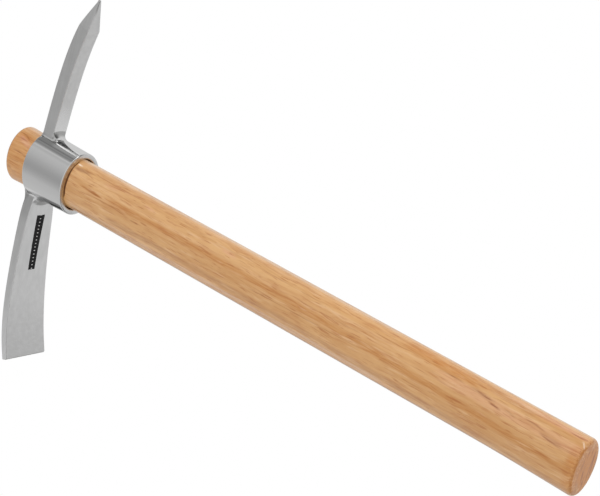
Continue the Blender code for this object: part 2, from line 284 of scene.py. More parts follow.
def varnishedAsh():
    # Ash under clear varnish: long straight grain, short reddish pores, a soft gloss. The
    # broad figure comes from attributes on the piece, and the fibres from stretched noise.
    # Attributes also lay on painted shade, painted shadow, painted sheen and painted
    # highlights.
    material, tree = newMaterial("varnished_ash")
    place = toolPlace(tree)
    drift = addNode(tree, "TexNoise", {"Vector": place, "Scale": ashFinish["bends"],
                                       "Detail": 2.0}).outputs["Color"]
    reach = ashFinish["bendReach"]
    bend = addNode(tree, "VectorMath", {0: drift, 1: (0.0, reach, reach)},
                   operation="MULTIPLY").outputs["Vector"]
    grain = addNode(tree, "VectorMath", {0: place, 1: bend}, operation="ADD").outputs["Vector"]
    # Every pattern, layer and mark gets a share and a colour, and then they are laid on in turn
    height, share, hexColours = {}, {}, {}
    for name, pattern in ashFinish["patterns"].items():
        cells, detail, rough, hexColours[name], low, high, most = pattern
        lies = place if name == "endRings" else grain
        stretched = addNode(tree, "VectorMath", {0: lies, 1: cells},
                            operation="MULTIPLY").outputs["Vector"]
        height[name] = addNode(tree, "TexNoise", {
            "Vector": stretched, "Scale": 1.0, "Detail": detail,
            "Roughness": rough}).outputs["Fac"]
        share[name] = addNode(tree, "MapRange", {
            "Value": height[name], "From Min": low, "From Max": high, "To Max": most},
            interpolation_type="SMOOTHSTEP").outputs["Result"]
    low, high, crests = ashFinish["broken"]
    for name, hexColour, broken in ashFinish["layers"]:
        hexColours[name] = hexColour
        laid = addNode(tree, "Attribute", attribute_name=name).outputs["Fac"]
        torn = addNode(tree, "MapRange", {
            "Value": height["fineFibre"], "From Min": low, "From Max": high,
            "To Min": 1 - broken, "To Max": 1.0 + crests * broken}).outputs["Result"]
        share[name] = addNode(tree, "Math", {0: laid, 1: torn}, operation="MULTIPLY",
                              use_clamp=True).outputs["Value"]
    # Painted shade and shadow, and painted highlights, taken straight from attributes
    for name in ("shadeAndHeadLine", "paintedHighlight"):
        share[name] = addNode(tree, "Attribute", attribute_name=name).outputs["Fac"]
        hexColours[name] = ashFinish[name]
    colour = linear(ashFinish["pale"])
    for name in ("broad", *[layer[0] for layer in ashFinish["layers"]],
                 "broadFibre", "fineFibre", "paleFibre", "pore", "shadeAndHeadLine", "paintedHighlight"):
        colour = addNode(tree, "Mix", {
            "Factor": share[name], 6: colour, 7: linear(hexColours[name])},
            data_type="RGBA").outputs[2]
    sawn = addNode(tree, "Mix", {
        "Factor": share["endRings"], 6: linear(ashFinish["endFace"]),
        7: linear(hexColours["endRings"])}, data_type="RGBA").outputs[2]
    endGrain = addNode(tree, "Attribute", attribute_name="endGrain").outputs["Fac"]
    colour = addNode(tree, "Mix", {"Factor": endGrain, 6: colour, 7: sawn},
                     data_type="RGBA").outputs[2]
    smooth, dull = ashFinish["roughness"]
    rough = addNode(tree, "MapRange", {
        "Value": height["broadFibre"], "From Min": noiseLow, "From Max": noiseHigh,
        "To Min": smooth, "To Max": dull}).outputs["Result"]
    sunk = addNode(tree, "Math", {0: height["fineFibre"], 1: height["pore"]},
                   operation="SUBTRACT").outputs["Value"]
    bump = addNode(tree, "Bump", {
        "Height": sunk, "Strength": ashFinish["fibreStrength"],
        "Distance": ashFinish["fibreDepth"]}).outputs["Normal"]
    shader = addNode(tree, "BsdfPrincipled", {
        "Base Color": colour, "Roughness": rough, "Normal": bump, "IOR": ashFinish["ior"],
        "Coat Weight": ashFinish["varnish"], "Coat Roughness": ashFinish["varnishRoughness"],
        "Coat IOR": ashFinish["varnishIor"]})
    addNode(tree, "OutputMaterial", {"Surface": shader.outputs["BSDF"]})
    return material


printFinish = {
    "black": "#151516",
    "dot": "#D8D8D8",
    "dotEvery": 0.0026,
    "dotRadius": 0.00060,
    "roughness": 0.42,
    "gloss": 0.15,
}


def blackPrint():
    # Screen-printed black enamel, thin and half matt, with a row of light dots. "dotRow"
    # runs on by 2 from each dot to the next, and "sideways" is the way off the row.
    material, tree = newMaterial("black_enamel_print")
    along, sideways = [addNode(tree, "Attribute", attribute_name=name).outputs["Fac"]
                       for name in ("dotRow", "sideways")]
    turns = addNode(tree, "Math", {0: along, 1: 1.0}, operation="PINGPONG").outputs["Value"]
    ahead = addNode(tree, "Math", {0: turns, 1: printFinish["dotEvery"]},
                    operation="MULTIPLY").outputs["Value"]
    spot = addNode(tree, "CombineXYZ", {"X": ahead, "Y": sideways}).outputs["Vector"]
    reach = addNode(tree, "VectorMath", {0: spot}, operation="LENGTH").outputs["Value"]
    dot = addNode(tree, "Math", {0: reach, 1: printFinish["dotRadius"]},
                  operation="LESS_THAN").outputs["Value"]
    colour = addNode(tree, "Mix", {"Factor": dot, 6: linear(printFinish["black"]),
                                   7: linear(printFinish["dot"])}, data_type="RGBA").outputs[2]
    shader = addNode(tree, "BsdfPrincipled", {
        "Base Color": colour, "Roughness": printFinish["roughness"],
        "Specular IOR Level": printFinish["gloss"]})
    addNode(tree, "OutputMaterial", {"Surface": shader.outputs["BSDF"]})
    return material


# Handle

handle = {
    "headEnd": (0.0392, 0.0303),     # height and width of the oval at the head end
    "neck": (0.0343, 0.0267),        # where it leaves the eye
    "butt": (0.0330, 0.0254),
    "proud": 0.0203,                 # how far it stands out of the eye's far rim
    "gripLength": 0.4043,
    "buttSwell": 0.0014,             # of the underside, at the butt
    "swellLength": 0.060,
    "swellPower": 1.5,
    "headRound": 0.0022,
    "buttRound": 0.0027,
    "stepsAlong": 318,               # how finely the mesh is divided, here and below
    "stepsRound": 264,
    "stepsRounding": 9,
    "stepsCap": 14,
    "ringRows": (-0.0006, 0.0024, 11),    # extra rows that keep the painted shadow ring's edge sharp
    # The painted shadow ring that the eye's rim casts on the wood: how far it shows ahead of
    # the eye, the share of that on top, the degrees over which it widens, starts and stops, how
    # softly it ends, and how dark the painted shade is inside the eye's mouth
    "ring": {"ahead": 0.0015, "onTop": 0.45, "widens": (125, 165), "starts": (100, 116),
             "stops": (194, 212), "edge": (-0.0004, 0.0001), "mouthEdge": 0.0007,
             "inMouth": 0.35},
    # Rims of the two ends, by how far down the rounding: the dark line round the head end,
    # and how worn they are
    "rim": {"line": 0.65, "lineStarts": (0.0, 0.12), "lineStops": (0.6, 0.9),
            "worn": (0.04, 0.5), "honey": 0.95, "darkAtHead": 0.8, "darkAtButt": 0.15},
    # End grain, by the share of the way out from a place that lies off the middle
    "endGrain": {"off": 0.20, "fades": (0.66, 0.90), "inRounding": (0.75, 1.0)},
    "streakFade": 6.0,               # mm over which a streak fades at each end,
    "fadeMost": 0.25,                # or this share of its length where that is less
    # The wood outside the eye's far rim is older, darker and streakier
    "outside": {"orange": 0.38, "honey": 0.28},
    "outsideFrom": (-22.0, -17.0),   # mm along the handle
}


def ovalSize(x):
    # Height and width fall evenly from the head end to the neck, and on to the butt
    places = (-eyeLength / 2 - handle["proud"], eyeLength / 2,
              eyeLength / 2 + handle["gripLength"])
    ends = (handle["headEnd"], handle["neck"], handle["butt"])
    return [np.interp(x, places, sizes) for sizes in zip(*ends)]


# The figure in the grain, with painted shade, painted sheen and painted highlights among the
# streaks. Each streak has places (mm along the handle, degrees round it: 90 is the top and 180
# the camera's side), a half width in degrees and the share of its colour.
grainFigure = {
    "honey": [
        (((60, 160), (100, 157), (140, 155), (170, 157), (250, 160), (285, 164),
          (340, 171), (380, 178), (423, 184)), 7.0, 0.70),
        (((33, 159), (42, 161), (52, 162)), 2.8, 1.00),
        (((54, 160), (78, 161)), 3.0, 0.60),
        (((25, 112), (60, 113), (110, 114)), 8.0, 0.30),
        (((77, 155), (85, 155)), 2.0, 0.45),
        (((100, 154), (115, 153), (132, 153), (150, 155), (170, 155)), 3.0, 0.50),
        (((190, 154), (215, 155), (232, 160), (262, 160)), 5.5, 0.50),
        (((216, 165), (240, 165)), 3.0, 0.35),
        (((263, 158), (276, 159)), 4.0, 0.60),
        (((281, 163), (292, 164)), 4.0, 0.55),
        (((298, 166), (330, 169), (358, 172)), 2.6, 0.50),
        (((395, 180), (405, 182)), 2.0, 0.45),
        (((18, 110), (21, 112)), 60.0, 0.25),
        # painted shade along the underside
        (((25, 250), (423, 250)), 17.0, 0.55),
        (((-31, 170), (-20, 176)), 14.0, 0.45),
    ],
    "brown": [
        (((60, 201), (100, 199), (130, 199), (165, 200), (230, 203), (300, 208), (330, 212),
          (370, 217), (423, 222)), 7.5, 0.62),
        # painted shade under the handle beside the eye, and under the butt
        (((19, 238), (26, 236), (42, 232)), 9.0, 0.90),
        (((400, 236), (423, 232)), 12.0, 0.70),
        # painted shade along the underside
        (((25, 250), (423, 250)), 17.0, 0.95),
        (((100, 196), (120, 196), (165, 199)), 4.0, 0.45),
        (((95, 203), (118, 204)), 3.0, 0.35),
        (((180, 202), (215, 203)), 4.0, 0.30),
        (((187, 195), (200, 195)), 1.6, 0.60),
        (((212, 195), (221, 195)), 1.6, 0.60),
        (((229, 200), (246, 200)), 2.2, 0.60),
        (((245, 205), (253, 205)), 2.0, 0.50),
        (((262, 205), (300, 208)), 5.0, 0.35),
        (((20, 180), (150, 176), (300, 186), (423, 200)), 15.0, 0.12),
        (((330, 200), (423, 200)), 22.0, 0.25),
        (((20, 128), (34, 125)), 5.0, 0.95),
        (((348, 129), (366, 135)), 5.0, 0.55),
        (((356, 105), (390, 115)), 11.0, 0.38),
        (((340, 150), (423, 150)), 60.0, 0.11),
        (((397, 141), (412, 149)), 6.0, 0.55),
        (((-37, 199), (-34, 201)), 5.0, 0.60),
        (((-33, 208), (-29, 211)), 5.0, 0.50),
    ],
    "orange": [
        (((300, 112), (330, 113), (352, 114)), 12.0, 0.95),
        (((350, 110), (368, 109)), 10.0, 0.80),
        (((300, 97), (400, 97)), 6.0, 0.40),
        (((318, 124), (342, 125)), 4.0, 0.80),
        (((20, 104), (150, 104)), 7.0, 0.12),
        (((140, 104), (260, 108), (300, 110)), 7.0, 0.28),
        (((22, 216), (90, 216), (200, 216)), 6.0, 0.30),
        (((222, 112), (232, 116), (300, 118)), 8.0, 0.30),
        (((366, 110), (375, 114), (400, 112), (422, 112)), 8.0, 0.55),
        (((-37, 122), (-25, 126)), 9.0, 0.90),
        (((417.5, 175), (424.5, 175)), 62.0, 0.85),
    ],
    "blush": [
        (((50, 128), (62, 128)), 5.0, 0.35),
        (((87, 129), (96, 130)), 4.0, 0.45),
        (((157, 129), (168, 131)), 6.0, 0.45),
        (((325, 134), (345, 136)), 5.0, 0.35),
        (((55, 118), (72, 122)), 3.0, 0.25),
        (((330, 140), (423, 140)), 12.0, 0.40),
        (((370, 104), (423, 104)), 8.0, 0.50),
        (((60, 222), (200, 222), (300, 224)), 6.0, 0.30),
        (((-34, 131), (-22, 141)), 7.0, 0.85),
    ],
    "light": [
        (((20, 142), (80, 146), (150, 146)), 4.0, 0.25),
        (((25, 212), (90, 212), (160, 212)), 6.0, 0.45),
        (((180, 146), (215, 145)), 3.0, 0.22),
        (((228, 168), (272, 168)), 1.4, 0.55),
        (((240, 131), (300, 133)), 3.5, 0.35),
        (((300, 134), (318, 136)), 3.0, 0.35),
        (((372, 130), (392, 127), (420, 130)), 1.6, 0.45),
        (((35, 166), (70, 163)), 1.2, 0.30),
        (((-36, 84), (-20, 84)), 16.0, 0.60),
    ],
    # Painted sheen: the whitish gloss along the top and along the lower side
    "paintedSheen": [
        (((-39, 84), (290, 84)), 11.0, 0.50),
        (((290, 77), (423, 77)), 11.0, 0.45),
        (((25, 243), (423, 243)), 7.0, 0.30),
        (((25, 219), (290, 219)), 6.0, 0.35),
    ],
    # Painted shade along the underside; the painted shadow ring beside the eye is added in
    # makeHandle
    "shadeAndHeadLine": [
        (((25, 250), (423, 250)), 17.0, 0.18),
    ],
    # Painted highlights: beside the eye's near rim and on the butt's rounded rim
    "paintedHighlight": [
        (((20.4, 116), (23.6, 116)), 2.0, 0.9),
        (((420.6, 116), (422.6, 126)), 2.4, 0.55),
    ],
    "dark": [
        (((33, 119), (50, 119), (82, 120)), 1.2, 0.35),
        (((58, 120), (82, 120)), 1.0, 0.40),
        (((35, 160), (42, 161), (50, 162)), 1.8, 0.50),
        (((42, 168), (60, 168), (76, 169)), 1.1, 0.45),
        (((82, 174), (89, 174)), 1.1, 0.60),
        (((140, 180), (150, 179), (163, 177)), 1.0, 0.50),
        (((120, 186), (132, 184)), 1.0, 0.30),
        (((122, 122), (150, 122), (163, 124)), 1.0, 0.25),
        (((158, 124), (172, 123)), 1.3, 0.35),
        (((170, 118), (200, 110), (228, 110)), 1.2, 0.25),
        (((185, 125), (205, 126), (236, 127)), 1.1, 0.35),
        (((198, 172), (206, 171)), 1.1, 0.40),
        (((186, 177), (200, 175), (240, 174), (258, 173), (274, 172)), 1.1, 0.45),
        (((222, 147), (250, 146), (275, 143)), 1.1, 0.35),
        (((280, 127), (300, 127)), 1.2, 0.30),
        (((264, 158), (275, 158)), 1.2, 0.40),
        (((300, 186), (312, 185), (330, 178)), 1.0, 0.35),
        (((300, 152), (335, 151)), 1.0, 0.30),
        (((328, 129), (342, 129)), 1.8, 0.70),
        (((354, 131), (363, 134)), 2.0, 0.80),
        (((363, 140), (370, 143)), 2.2, 0.85),
        (((373, 136), (380, 141)), 2.0, 0.70),
        (((387, 133), (393, 134), (399, 137)), 2.0, 0.60),
        (((398, 145), (403, 149), (410, 150)), 1.9, 0.60),
        (((412, 150), (422, 149)), 1.4, 0.40),
        (((392, 153), (398, 152)), 1.2, 0.45),
        (((412, 108), (419, 109)), 1.8, 0.50),
        (((410, 170), (423, 172)), 0.9, 0.25),
        (((-34, 161), (-28, 161.5), (-20, 163)), 1.6, 0.80),
        (((-36, 120), (-30, 122), (-26, 128)), 1.8, 0.60),
        (((-34, 132), (-26, 134)), 1.6, 0.50),
        (((-36, 200), (-33, 202)), 2.0, 0.50),
    ],
}


def figureShares(x, angle, streaks):
    # Each streak is a soft ridge, exp(-(offset / half width)^4), that fades at its two ends
    total = np.zeros_like(x)
    for places, halfWidth, amount in streaks:
        along, middle = np.array(places, float).T
        offset = (angle - np.interp(x, along, middle)) / halfWidth
        fade = min(handle["streakFade"], handle["fadeMost"] * (along[-1] - along[0]))
        ends = between(*[(end - fade, end + fade) for end in along[[0, -1]]], x)
        total = np.maximum(total, amount * np.exp(-np.abs(offset) ** 4) * ends)
    return total


def makeHandle(material):
    # Ovals along the axis: point(x, a) = (x, w/2 cos a, h/2 sin a). At both ends the oval
    # draws in by r (1 - cos b) while x runs on by r sin b, a quarter round. Towards the butt
    # the lower half swells by s^1.5.
    headRound, buttRound = handle["headRound"], handle["buttRound"]
    start = -eyeLength / 2 - handle["proud"]
    finish = eyeLength / 2 + handle["gripLength"]
    turn = np.linspace(0, math.pi / 2, handle["stepsRounding"])
    capShares = np.linspace(0.0, 1.0, handle["stepsCap"])[1:-1]
    body = np.linspace(start + headRound, finish - buttRound, handle["stepsAlong"])[1:-1]
    ringRows = eyeLength / 2 + np.linspace(*handle["ringRows"])
    body = np.sort(np.concatenate([body, ringRows, -ringRows[:2]]))
    x = np.concatenate([capShares * 0 + start, start + headRound * (1 - np.sin(turn[::-1])),
                        body, finish - buttRound * (1 - np.sin(turn)), capShares * 0 + finish])
    roundIn = np.concatenate([capShares * 0 + 1, 1 - np.cos(turn[::-1]), body * 0,
                              1 - np.cos(turn), capShares * 0 + 1])
    share = np.concatenate([capShares, np.ones(len(turn) * 2 + len(body)), capShares[::-1]])
    angle = np.linspace(0, 2 * math.pi, handle["stepsRound"], endpoint=False)
    height, width = ovalSize(x)
    drawnIn = roundIn * np.where(x < 0, headRound, buttRound)
    swell = handle["buttSwell"] * np.clip(
        1 - (finish - x) / handle["swellLength"], 0, 1) ** handle["swellPower"]
    up = np.sin(angle)[None, :]
    halfHeight = (height / 2 - drawnIn)[:, None] + np.where(up < 0, swell[:, None], 0.0)
    halfWidth = (width / 2 - drawnIn)[:, None]
    rings = np.stack(np.broadcast_arrays(
        x[:, None], share[:, None] * halfWidth * np.cos(angle),
        share[:, None] * halfHeight * up), -1)
    degrees = np.degrees(np.broadcast_to(angle, rings.shape[:2]))
    millimetres = rings[..., 0] * 1000
    attributes = {name: figureShares(millimetres, degrees, streaks)
                  for name, streaks in grainFigure.items()}
    outside = 1 - smoothStep(*handle["outsideFrom"], millimetres)
    for name, amount in handle["outside"].items():
        attributes[name] = np.maximum(attributes[name], amount * outside)
    ring, rim, endGrain = [handle[name] for name in ("ring", "rim", "endGrain")]
    # Painted shadow of the eye's rim: how far it reaches ahead of the eye, widest on the
    # camera's side
    shadowReach = ring["ahead"] * mix(ring["onTop"], 1.0, smoothStep(*ring["widens"], degrees)) \
        * between(ring["starts"], ring["stops"], degrees) * (millimetres > 0)
    pastEye = np.abs(rings[..., 0]) - eyeLength / 2 - shadowReach
    mouth = smoothStep(-ring["mouthEdge"], 0.0, rings[..., 0] - eyeLength / 2)
    line = between(rim["lineStarts"], rim["lineStops"], roundIn * (x < 0))
    # Painted shade and shadow: along the underside, beside the eye and inside its mouth; and
    # the dark line round the head end
    attributes["shadeAndHeadLine"] = np.maximum.reduce([
        attributes["shadeAndHeadLine"],
        (1 - smoothStep(*ring["edge"], pastEye)) * mix(ring["inMouth"], 1.0, mouth),
        rim["line"] * (line[:, None] + 0 * millimetres)])
    fromMiddle = np.hypot(share[:, None] * np.cos(angle) - endGrain["off"],
                          share[:, None] * np.sin(angle))
    attributes["endGrain"] = smoothStep(*endGrain["inRounding"], roundIn)[:, None] \
        * (1 - smoothStep(*endGrain["fades"], fromMiddle))
    worn = smoothStep(*rim["worn"], roundIn)[:, None] + 0 * millimetres
    wornDark = np.where(millimetres < 0, rim["darkAtHead"], rim["darkAtButt"])
    attributes["honey"] = np.maximum(attributes["honey"], rim["honey"] * worn)
    attributes["dark"] = np.maximum(attributes["dark"], wornDark * worn)
    return loftPiece("handle", rings, material, attributes)


# Eye

eye = {
    "crownWall": 0.0036,
    "sideWall": 0.0027,
    "seatClearance": 0.0003,
    "mouthClearance": 0.0009,
    "rimRound": 0.0009,
    "stepsAlong": 60,
    "stepsRound": 256,
    "stepsRounding": 9,
    "bright": 0.52,
    "rimBright": 0.74,
    "scaleStarts": (0.55, 1.0),      # down the inner roundings
    # A patch on top beside the pick that the wheel left dull, and the underside behind the
    # blade that it didn't reach: the degrees over which each starts and stops, and the x
    # over which it ends towards the grip
    "dull": {"starts": (100, 107), "stops": (117, 125), "ends": (-0.007, -0.001)},
    "unreached": {"starts": (216, 226), "stops": (300, 320), "ends": (-0.004, 0.003),
                  "unbuffed": 0.7},
}


def boreHalf(x):
    # The handle's oval and a clearance that grows evenly from the far rim to the near one
    height, width = ovalSize(x)
    share = (x + eyeLength / 2) / eyeLength
    clearance = mix(eye["seatClearance"], eye["mouthClearance"], share)
    return height / 2 + clearance, width / 2 + clearance


def eyeHalf(x):
    # The bore and the walls
    halfHeight, halfWidth = boreHalf(x)
    return halfHeight + eye["crownWall"], halfWidth + eye["sideWall"]


def makeEye(material):
    # A profile carried round the oval: its two measures are x and the share of the wall,
    # 0 on the bore and 1 outside; the four corners are quarter rounds
    half, corner = eyeLength / 2, eye["rimRound"]
    wall = (eye["crownWall"] + eye["sideWall"]) / 2
    turn = np.linspace(0, math.pi / 2, eye["stepsRounding"])
    ahead, down = corner * np.sin(turn), corner * (1 - np.cos(turn)) / wall
    outer = np.linspace(-half + corner, half - corner, eye["stepsAlong"])[1:-1]
    x = np.concatenate([-half + corner - ahead[::-1], outer, half - corner + ahead,
                        half - corner + ahead[::-1], outer[::-1], -half + corner - ahead])
    share = np.concatenate([1 - down[::-1], outer * 0 + 1, 1 - down,
                            down[::-1], outer * 0, down])
    rimTurn, straight = turn / turn[-1], outer * 0
    buffed = np.concatenate([1 - rimTurn[::-1], straight + 1, 1 - rimTurn,
                             0 * turn, straight, 0 * turn])
    deep = smoothStep(*eye["scaleStarts"], 1 - rimTurn)
    scaled = np.concatenate([0 * turn, straight, 0 * turn, deep[::-1], straight + 1, deep])
    angle = np.linspace(0, 2 * math.pi, eye["stepsRound"], endpoint=False)
    (outHigh, outWide), (inHigh, inWide) = eyeHalf(x), boreHalf(x)
    high, wide = mix(inHigh, outHigh, share), mix(inWide, outWide, share)
    grid = np.stack(np.broadcast_arrays(x[:, None], wide[:, None] * np.cos(angle),
                                        high[:, None] * np.sin(angle)), -1)
    points = grid.reshape(-1, 3)
    faces = turnedOutward(points, ringFaces(*grid.shape[:2], closedRows=True))
    outside = mix(eye["bright"], eye["rimBright"], rimTurn)
    inside = 0 * turn + eye["rimBright"]
    bright = np.concatenate([outside[::-1], straight + eye["bright"], outside,
                             inside, straight, inside])
    degrees = np.degrees(angle)
    dull, unreached = [between(patch["starts"], patch["stops"], degrees)
                       * (1 - smoothStep(*patch["ends"], x))[:, None]
                       for patch in (eye["dull"], eye["unreached"])]
    bright = mix(bright[:, None] * (1 - dull), 1.0, unreached)
    buffed = buffed[:, None] * (1 - eye["unreached"]["unbuffed"] * unreached)
    shares = {"buffed": buffed, "bright": bright, "scaled": scaled}
    shares = {name: np.broadcast_to(values.reshape(len(x), -1), grid.shape[:2])
              for name, values in shares.items()}
    return makePiece("eye", points, faces.tolist(), material, shares)


# Arms

arms = {
    "rootDepth": 0.0080,         # how far an arm's root runs into the eye's wall and bore
    "arrisRound": 0.0003,
    "arrisGloss": 0.35,          # the share of the buffing that is left on the edges
    "filletSink": 0.00006,       # how deep a fillet's foot ends in the eye's wall
    "rimMargin": 0.0002,         # between the eye's rounded rim and the foot of a fillet
    "filletReach": (-0.006, 0.030),    # how far along the arm its top may lie
    "slopeStep": 0.0002,         # for the slope of the arm's side
    "aboveFillet": 0.0004,       # from the fillets to the arm's next ring
    "besideCorner": 0.012,       # a spot this close to each corner keeps the flats flat
    "square": 0.999,             # a way out this close to straight back is on the back's flat
    "onEdge": 0.95,              # and one whose two parts differ by less is on an edge
    "stepsNearest": 12,          # steps towards the nearest place on the eye
    "stepsCorner": 5,
    "stepsSide": 8,
    "stepsFillet": 14,
    "stepsAlong": 70,
    "stepsLine": 1201,
    "stepsSearch": 34,
}


def nearestOnEye(points):
    # The oval's angle moves on by slope over bend of the squared distance, until the line to
    # the point stands square to the oval
    halfHeight, halfWidth = eyeHalf(points[:, 0])
    y, z = points[:, 1], points[:, 2]
    angle = np.arctan2(z / halfHeight, y / halfWidth)
    for _ in range(arms["stepsNearest"]):
        c, s = np.cos(angle), np.sin(angle)
        slope = -halfWidth * s * (halfWidth * c - y) + halfHeight * c * (halfHeight * s - z)
        bend = (halfWidth * s) ** 2 - halfWidth * c * (halfWidth * c - y) \
            + (halfHeight * c) ** 2 - halfHeight * s * (halfHeight * s - z)
        angle = angle - slope / bend
    return np.stack([points[:, 0], halfWidth * np.cos(angle), halfHeight * np.sin(angle)], -1)


def armLine(arm):
    # A cubic curve in the X-Z plane from the eye's crown to the arm's end: four controls
    # weighted by (1-s)^3, 3 s (1-s)^2, 3 s^2 (1-s) and s^3. The inner two lie along the two
    # leans, by "pulls" times the length.
    side, length = arm["side"], arm["length"]
    rootX = -eyeLength / 2 + arm["inset"] + arm["rootThickness"] / 2
    crown = float(eyeHalf(np.array(rootX))[0])
    start = np.array((rootX, side * crown))
    end = np.array((rootX + arm["sweep"], side * (crown + length)))
    rootWay, tipWay = [np.array((math.sin(lean), side * math.cos(lean)))
                       for lean in (arm["rootLean"], arm["tipLean"])]
    controls = (start, start + rootWay * arm["pulls"][0] * length,
                end - tipWay * arm["pulls"][1] * length, end)
    share = np.linspace(0, 1, arms["stepsLine"])[:, None]
    rest = 1 - share
    weights = (rest ** 3, 3 * rest ** 2 * share, 3 * rest * share ** 2, share ** 3)
    points = sum(control * weight for control, weight in zip(controls, weights))
    ways = sum((after - before) * slope for before, after, slope
               in zip(controls, controls[1:], (rest ** 2, 2 * rest * share, share ** 2)))
    ways /= np.linalg.norm(ways, axis=1, keepdims=True)
    steps = np.linalg.norm(np.diff(points, axis=0), axis=1)
    travelled = np.concatenate([[0], np.cumsum(steps)])

    def line(distance):
        ahead = np.clip(distance, 0, None)
        point = np.stack([np.interp(ahead, travelled, points[:, k]) for k in (0, 1)], -1)
        way = np.stack([np.interp(ahead, travelled, ways[:, k]) for k in (0, 1)], -1)
        return point + rootWay * np.minimum(distance, 0)[..., None], way

    return line, travelled[-1]


def sectionSpots():
    # Places round a rounded rectangle: corner box (u, v) and the way out (outX, outY)
    spots = []
    beside, quarter = arms["besideCorner"], np.linspace(0, 90, arms["stepsCorner"] + 1)
    shares = np.concatenate([[beside], np.linspace(0, 1, arms["stepsSide"] + 1)[1:-1],
                             [1 - beside]])
    for turn, (u, v), (nextU, nextV) in ((0, (1, 1), (-1, 1)), (90, (-1, 1), (-1, -1)),
                                         (180, (-1, -1), (1, -1)), (270, (1, -1), (1, 1))):
        ways = np.radians(turn + np.append(quarter, 90 + 0 * shares))
        spots.append(np.stack([np.append(u + 0 * quarter, mix(u, nextU, shares)),
                               np.append(v + 0 * quarter, mix(v, nextV, shares)),
                               np.cos(ways), np.sin(ways)], -1))
    return np.concatenate(spots)


def aheadOfLine(line, distance, ahead):
    # Places ahead of an arm's line, square to it: (x + ahead |wz|, z - ahead wx sign(wz))
    # where (wx, wz) is the line's way
    point, way = line(distance)
    return (point[..., 0] + np.abs(way[..., 1]) * ahead,
            point[..., 1] - way[..., 0] * ahead * np.sign(way[..., 1]))


def armPoints(line, sizes, spots, distance):
    # Places of the section that lies square across the arm, at a distance for each spot
    front, back, halfWidth, rounding = sizes(distance)
    u, v, outX, outY = spots.T
    x, z = aheadOfLine(line, distance, mix(rounding - back, front - rounding, (u + 1) / 2)
                       + rounding * outX)
    return np.stack([x, v * (halfWidth - rounding) + rounding * outY, z], -1)


def filletRings(line, sizes, spots, arm):
    # A ball rolls between the arm and the eye, small at the sides, larger at the front and
    # largest at the back. Its arc runs from where it touches the arm to where it touches
    # the eye.
    outX, outY = np.maximum(spots[:, 2], 0.0), spots[:, 3].copy()
    outY = np.where(spots[:, 2] < 0, spots[:, 1], outY)
    # In between, the radius changes with the square of how far a spot faces front or back
    frontward, backward = np.maximum(spots[:, 2], 0) ** 2, np.maximum(-spots[:, 2], 0) ** 2
    radius = (arm["sideFillet"] + (arm["frontFillet"] - arm["sideFillet"]) * frontward
              + (arm["backFillet"] - arm["sideFillet"]) * backward)[:, None]
    outward = np.stack([outX, outY, 0 * outX], -1)

    def ball(distance):
        point = armPoints(line, sizes, spots, distance)
        ahead = armPoints(line, sizes, spots, distance + arms["slopeStep"]) - point
        lift = outward - ahead * ((outward * ahead).sum(1) / (ahead ** 2).sum(1))[:, None]
        return point, point + lift / np.linalg.norm(lift, axis=1, keepdims=True) * radius

    low, high = [np.full(len(spots), reach) for reach in arms["filletReach"]]
    for _ in range(arms["stepsSearch"]):
        distance = (low + high) / 2
        point, centre = ball(distance)
        gap = np.linalg.norm(nearestOnEye(centre) - centre, axis=1)
        high = np.where(gap > radius[:, 0], distance, high)
        low = np.where(gap > radius[:, 0], low, distance)
    begin, finish = point - centre, nearestOnEye(centre) - centre
    backSpot = np.array([[-1.0, 0.0, -1.0, 0.0]])
    back = armPoints(line, sizes, backSpot, np.zeros(1))[0, 0]
    drawnIn = max(0.0, -eyeLength / 2 + eye["rimRound"] + arms["rimMargin"] - back)
    angle = np.arccos((begin * finish).sum(1) / radius[:, 0] ** 2)[:, None]
    share = np.linspace(0, 1, arms["stepsFillet"] + 1)[:, None, None]
    arc = begin * np.sin((1 - share) * angle) + finish * np.sin(share * angle)
    rings = centre + arc * (1 + share * arms["filletSink"] / radius) / np.sin(angle)
    rings[..., 0] += share[..., 0] * drawnIn * (1 - spots[:, 0]) / 2
    return distance, rings


def makeArm(name, arm, sizes, distances, line, finish, material):
    # Rings from the buried root over the fillet's arcs and on along the arm; behind the
    # back's flat the arcs are drawn straight across. finish gives the steel's shares from
    # the distance along the arm, the share of the way down the fillet, whether a place is on
    # the front or on a side, and how far sideways.
    spots = sectionSpots()
    straight = np.flatnonzero((spots[:, 2] < -arms["square"])
                              & (np.abs(spots[:, 1]) < arms["square"]))
    top, fillet = filletRings(line, sizes, spots, arm)
    before, after = straight[0] - 1, straight[-1] + 1
    share = (spots[straight, 1] - spots[before, 1]) / (spots[after, 1] - spots[before, 1])
    fillet[:, straight] = mix(fillet[:, [before]], fillet[:, [after]], share[None, :, None])
    buried = fillet[-1].copy()
    crown = abs(line(np.zeros(1))[0][0, 1])
    buried[:, 2] = arm["side"] * (crown - arms["rootDepth"])
    highest = np.delete(top, straight).max()
    free = distances[distances > highest + arms["aboveFillet"]]
    shaft = armPoints(line, sizes, spots, free[:, None])
    rings = np.concatenate([buried[None], fillet[::-1], shaft])
    down = np.linspace(1, 0, arms["stepsFillet"] + 1)
    along = np.concatenate([[0.0], 0 * down, free])[:, None]
    foot = np.concatenate([[1.0], down, 0 * free])[:, None]
    onFront, onSide = spots[None, :, 2] > 0.5, np.abs(spots[None, :, 3]) > 0.5
    attributes = finish(along, foot, onFront, onSide, spots[None, :, 1])
    outX, outY = np.abs(spots[None, :, 2:]).transpose(2, 0, 1)
    onArris = np.abs(outX - outY) < arms["onEdge"]
    attributes["buffed"] = attributes["buffed"] * np.where(onArris, arms["arrisGloss"], 1.0)
    attributes = {name: grid + np.zeros(rings.shape[:2]) for name, grid in attributes.items()}
    return loftPiece(name, rings, material, attributes)


